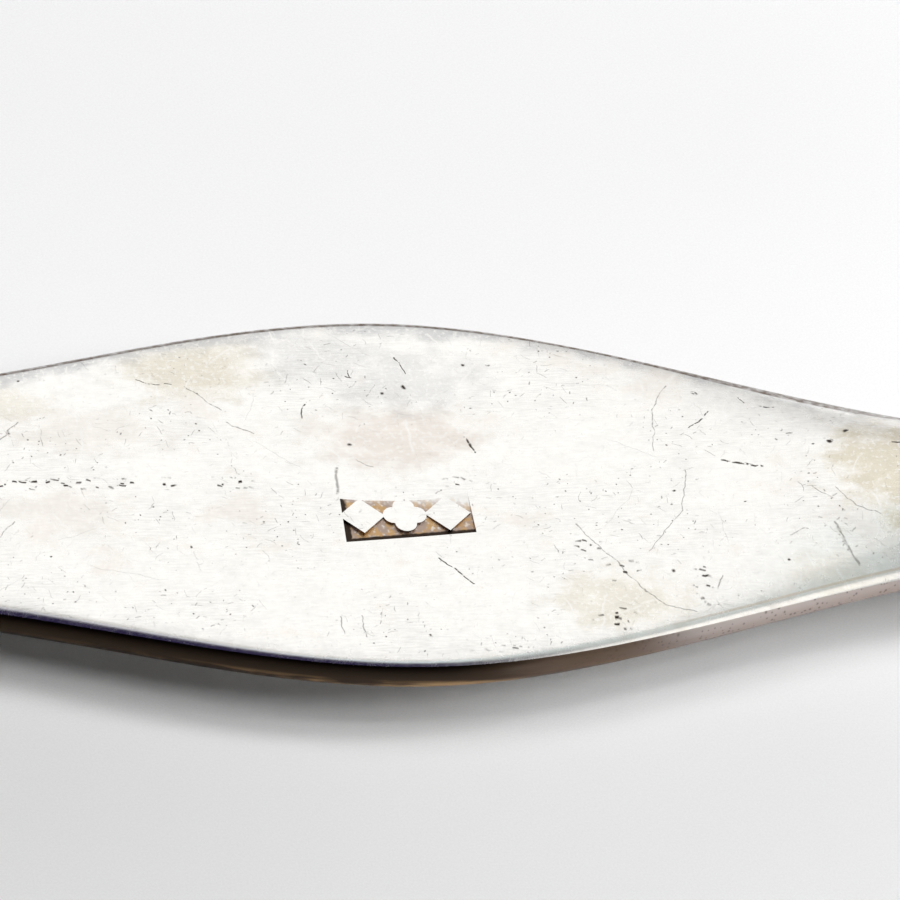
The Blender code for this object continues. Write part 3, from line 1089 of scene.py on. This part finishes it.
class TONGS_OT_bow(bpy.types.Operator):
    """Model the sprung bow as two halves that meet at its crown"""

    bl_idname = "tongs.bow"
    bl_label = "Bow"

    def execute(self, context):
        plan, colours = read_settings(context)
        crown = steps(-plan.arc_length, -plan.arc_length + 0.6 * MM, 0.15 * MM)
        arc = steps(crown[-1], 0, 0.5 * MM)
        leg = steps(0, plan.bow_lap_end + 2 * plan.gauge, ROW)
        half, _ = new_strip(plan, "bow_upper_half", [*crown, *arc[1:], *leg[1:]])
        round_edges(plan, half)
        silver_over(half, colours, "worn_silver_bow", 91.0)
        cut(half, lap_cutter(plan, plan.bow_lap_end, plan.bow_lap_at - plan.seam, False))
        lay_flat(half, plan, plan.half_width)
        self.bend(half, plan)
        smooth(half)
        for side, obj in zip(SIDES, (twin(half, "bow_lower_half"), half)):
            set_down(obj, plan.half_place(side))
            place = plan.line_place(side)
            start = plan.tongs_place().translation
            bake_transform(obj, "bow", f"{side}_arm", start=start, end=place.translation)
            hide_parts("bow_spring")
        return {"FINISHED"}

    def bend(self, half, plan):
        """Stand the strip on its crown and bend it round the bow."""
        half.location.x = plan.arc_length
        settle(half)
        half.rotation_euler.y = math.pi / 2
        settle(half)
        low = min(point.co.z for point in half.data.vertices)
        limits = (1 + plan.arc_length / low, 1)
        bend = {"deform_method": "BEND", "deform_axis": "Y", "angle": plan.arc_angle, "limits": limits}
        apply(half, "SIMPLE_DEFORM", **bend)


class TONGS_OT_bowls(bpy.types.Operator):
    """Model the two spoon-shaped bowls that grip the sugar"""

    bl_idname = "tongs.bowls"
    bl_label = "Bowls"

    def execute(self, context):
        plan, colours = read_settings(context)
        places = self.places(plan)
        bowl, _mesh, rows, _ = new_grid("upper_spoon", range(len(places)), range(len(places[0])))
        for row, targets in zip(rows, places):
            for point, (x, y) in zip(sorted(row, key=lambda point: point.co.y), targets):
                take([point])
                target = Vector((x, y, plan.side_line(x) - plan.bowl_hollow(x, y)))
                bpy.ops.transform.translate(value=target - point.co)
        thicken(bowl, plan.gauge)
        round_edges(plan, bowl, far_end=True)
        silver_over(bowl, colours, "worn_silver_bowl", 113.0)
        cut(bowl, lap_cutter(plan, plan.bowl_lap_at, plan.bowl_lap_end + plan.seam, False))
        lay_flat(bowl, plan, plan.bowl_half_width)
        smooth(bowl)
        for side, obj in zip(SIDES, (twin(bowl, "lower_spoon"), bowl)):
            set_down(obj, plan.line_place(side))
            dress(obj, f"{side}_arm", "silver", f"{side}_bowl")
        return {"FINISHED"}

    def places(self, plan):
        """Where the sheet's points lie: straight rows from tab to tip, then two bent round the tip."""
        band = 1.1 * plan.edge_round  # a narrow band along the rim, just wider than its round
        first, last = math.pi * 0.06, math.pi * 0.92  # straight rows, on half a turn from heel to tip
        corner, tip = 1.2, 1.4  # shares across the tip: where its rows end, and the last straight one
        shares = steps(-1, 1, 1 / 9)
        rows = []
        for x in steps(plan.bowl_lap_at - 2 * plan.gauge, plan.bowl_start, 0.6 * MM)[:-1]:
            half = plan.half_width(x)
            rows.append([(x, -half), *((x, share * (half - band)) for share in shares), (x, half)])
        for turn in steps(first, last, math.pi / 30):
            inner = plan.bowl_rim(turn, band)
            x, half = plan.bowl_rim(turn, 0)
            rows.append([(x, -half), *((inner.x, share * inner.y) for share in shares), (x, half)])
        for inset in (band, 0):
            row = []
            for share in (-corner, *shares, corner):
                turn = math.pi - abs(share) / tip * (math.pi - last)
                x, y = plan.bowl_rim(turn, 0 if abs(share) > 1 else inset)
                row.append((x, math.copysign(1, share) * y))
            rows.append(row)
        return rows


class TONGS_OT_seams(bpy.types.Operator):
    """Fill the four half-laps with solder, filed flush"""

    bl_idname = "tongs.seams"
    bl_label = "Soldered seams"

    def execute(self, context):
        plan, colours = read_settings(context)
        material = soldered("silver_solder", colours)
        laps = (  # name, start and end, and whether the rib at the start stands up or down
            ("bow", plan.bow_lap_at, plan.bow_lap_end, -1),
            ("bowl", plan.bowl_lap_at, plan.bowl_lap_end, 1),
        )
        for name, start, end, first_up in laps:
            seam = self.fill(plan, f"upper_{name}_seam", start, end, first_up)
            finish_with(seam, material)
            lay_flat(seam, plan, plan.half_width)
            smooth(seam)
            for side, obj in zip(SIDES, (twin(seam, f"lower_{name}_seam"), seam)):
                set_down(obj, plan.line_place(side))
                dress(obj, f"{side}_arm", "solder", f"{side}_{name}_solder")
        return {"FINISHED"}

    def fill(self, plan, name, start, end, first_up):
        """A piece of the whole strip, kept only where the stepped gap of the lap is."""
        spare = 2 * plan.gauge
        strip, mesh = new_strip(plan, name, steps(start - spare, end + spare, ROW))
        raise_rows(plan, mesh)
        round_edges(plan, strip)
        half = (end - start) / 2 + plan.seam - plan.solder_gap
        thin = plan.seam / 2 - plan.solder_gap
        wide = plan.bowl_width
        block = new_block("gap", (-half, -wide, -thin), (half, wide, thin))
        mesh = edit(block)
        inside = half - 2 * thin
        for edge in (-inside, inside):
            split((edge, 0, 0), (1, 0, 0))
        self.raise_rib(mesh, -inside, first_up, spare)
        self.raise_rib(mesh, inside, -first_up, spare)
        set_in_lap(block, plan, start, end)
        cut(strip, block, "INTERSECT")
        return strip

    def raise_rib(self, mesh, edge, up, height):
        """Draw the end of the block past an edge up, or down."""

        def on_rib(face):
            return face.normal.z * up > 0.9 and face.calc_center_median().x / edge > 1

        extrude(mesh, on_rib, (0, 0, up * height))


# Colours that the silver sees in the tent
TENT_LEFT, TENT_RIGHT = (0.28, 0.28, 0.285, 1), (0.70, 0.75, 0.73, 1)
ROOF_LEFT, ROOF_RIGHT = (0.66, 0.61, 0.70, 1), (0.74, 0.86, 0.86, 1)
WHITE_CARD, BRIGHT_CARD = (1.05, 1.05, 1.035, 1), (1.3, 1.28, 1.22, 1)
GREY_CARD, NAVY_CARD = (0.40, 0.38, 0.37, 1), (0.018, 0.011, 0.05, 1)
DARK_FRONT, TABLE = (0.02, 0.02, 0.03, 1), (0.88, 0.88, 0.88, 1)

# Lamps: name, degrees to the right of straight back, degrees up, width in metres and power in watts
LAMPS = (("key", 82, 36, 0.20, 2.10), ("fill", 108, 36, 0.20, 1.30), ("top", 50, 66, 0.40, 1.52))
LAMP_AWAY = 0.56

# The picture: pixels across it, the size of one on the finger swell, and how many of them its middle lies
# right of the swell's middle and above it
PICTURE_WIDTH = 900
PIXEL = 0.028946 * MM
AIM_RIGHT, AIM_UP = 55.7, 37.4
CAMERA_RISE, CAMERA_SWING, CAMERA_LEAN = math.radians(45.0), math.radians(15.3), math.radians(-0.35)
CAMERA_AWAY = 0.25


class TONGS_OT_stage(bpy.types.Operator):
    """Set up the paper floor, the light and the camera"""

    bl_idname = "tongs.stage"
    bl_label = "Stage"

    def execute(self, context):
        plan, colours = read_settings(context)
        deselect()
        bpy.ops.mesh.primitive_plane_add(size=8.0)
        floor = context.object
        floor.name = floor.data.name = "paper_floor"
        floor.data.materials.append(paper("pale_paper", colours))

        context.scene.view_settings.view_transform = "Standard"
        self.light(context, plan)
        self.camera(context, plan)
        return {"FINISHED"}

    def belly(self, plan):
        """The middle of the finger swell, on the lower arm's inner face."""
        return plan.line_place("lower") @ Vector((plan.belly_at, 0, plan.gauge / 2))

    def light(self, context, plan):
        """A tent that only the silver sees, darker in front and on the left, and lamps for the paper."""
        world = bpy.data.worlds.new("studio")
        context.scene.world = world
        world.use_nodes = True
        background = world.node_tree.nodes["Background"]
        start = Shade(world.node_tree)
        ray = start.node("ShaderNodeTexCoord", {}, {}, "Generated")
        ray = ray.vector("NORMALIZE", ray)
        side = ray.node("ShaderNodeSeparateXYZ", {}, {0: ray})
        depth, height = side.also(1), side.also(2)

        def facing(azimuth, elevation, inside, outside):
            """From 1 inside an angle off one aim to 0 outside another."""
            near = ray.vector("DOT_PRODUCT", ray, self.aim(azimuth, elevation), output="Value")
            return near.between(math.cos(math.radians(outside)), math.cos(math.radians(inside)))

        tent = side.between(-0.2, 0.65).tint(TENT_LEFT, TENT_RIGHT)
        tent = facing(15, 46, inside=27, outside=46).tint(tent, WHITE_CARD)
        tent = (facing(15, 5, inside=10, outside=28) * 0.4).tint(tent, GREY_CARD)
        front = depth.between(-0.02, -0.35) * side.between(0.95, 0.5) * height.between(0.80, 0.60)
        tent = front.tint(tent, DARK_FRONT)
        roof = side.between(-0.25, 0.25).tint(ROOF_LEFT, ROOF_RIGHT)
        tent = height.between(0.936, 0.962).tint(tent, roof)
        tent = facing(135, 27, inside=12, outside=22).tint(tent, BRIGHT_CARD)
        tent = facing(186, 42, inside=25, outside=39).tint(tent, NAVY_CARD)
        tent = height.between(0.10, 0.03).tint(tent, TABLE)
        start.feed(background, {"Color": tent, "Strength": 1.0})
        world.cycles_visibility.diffuse = False
        for lamp in LAMPS:
            self.lamp(context, plan, *lamp)

    def aim(self, azimuth, elevation):
        """A way to look, by degrees to the right of straight back and degrees up."""
        a, e = math.radians(azimuth), math.radians(elevation)
        return Vector((math.sin(a) * math.cos(e), math.cos(a) * math.cos(e), math.sin(e)))

    def lamp(self, context, plan, name, azimuth, elevation, size, power):
        """A round lamp that lights the paper but isn't seen in the silver."""
        light = bpy.data.lights.new(name, "AREA")
        light.shape = "DISK"
        light.size = size
        light.energy = power
        lamp = bpy.data.objects.new(name, light)
        context.scene.collection.objects.link(lamp)
        aim = self.aim(azimuth, elevation)
        lamp.location = self.belly(plan) + aim * LAMP_AWAY
        lamp.visible_glossy = False
        lamp.rotation_mode = "QUATERNION"
        lamp.rotation_quaternion = (-aim).to_track_quat("-Z", "Y")

    def camera(self, context, plan):
        """Level with the lower arm's length, from the bow's side and half way up."""
        place = plan.line_place("lower").to_3x3()
        flat = math.cos(CAMERA_RISE)
        back = place @ Vector(
            (-math.sin(CAMERA_SWING) * flat, -math.cos(CAMERA_SWING) * flat, math.sin(CAMERA_RISE))
        )
        along = place @ Vector((1, 0, 0))
        level = (along - back * along.dot(back)).normalized()
        right = Matrix.Rotation(CAMERA_LEAN, 3, back) @ level
        up = back.cross(right)
        aim = self.belly(plan) + right * AIM_RIGHT * PIXEL + up * AIM_UP * PIXEL
        lens = bpy.data.cameras.new("camera")
        lens.sensor_width = 36.0
        lens.lens = lens.sensor_width * CAMERA_AWAY / (PICTURE_WIDTH * PIXEL)
        lens.clip_start = 0.01
        camera = bpy.data.objects.new("camera", lens)
        context.scene.collection.objects.link(camera)
        turn = Matrix((right, up, back)).transposed().to_4x4()
        turn.translation = aim + back * CAMERA_AWAY
        camera.matrix_world = turn
        context.scene.camera = camera


OPERATORS = (TONGS_OT_arms, TONGS_OT_bow, TONGS_OT_bowls, TONGS_OT_seams, TONGS_OT_stage)


class TONGS_PT_panel(bpy.types.Panel):
    """The tongs' pieces, in the order they are made"""

    bl_idname = "TONGS_PT_panel"
    bl_label = "Sugar Tongs"
    bl_space_type = "VIEW_3D"
    bl_region_type = "UI"
    bl_category = "Tongs"

    def draw(self, context):
        for operator in OPERATORS:
            self.layout.operator(operator.bl_idname)
        for group in (context.scene.tongs_sizes, context.scene.tongs_colours):
            for name in type(group).__annotations__:
                self.layout.prop(group, name)


CLASSES = (TongsSizes, TongsColours, *OPERATORS, TONGS_PT_panel)


def register():
    for cls in CLASSES:
        bpy.utils.register_class(cls)
    bpy.types.Scene.tongs_sizes = bpy.props.PointerProperty(type=TongsSizes)
    bpy.types.Scene.tongs_colours = bpy.props.PointerProperty(type=TongsColours)


def unregister():
    del bpy.types.Scene.tongs_colours
    del bpy.types.Scene.tongs_sizes
    for cls in reversed(CLASSES):
        bpy.utils.unregister_class(cls)


def main():
    register()
    bpy.ops.tongs.arms()
    bpy.ops.tongs.bow()
    bpy.ops.tongs.bowls()
    bpy.ops.tongs.seams()
    bpy.ops.tongs.stage()


if __name__ == "__main__":
    main()
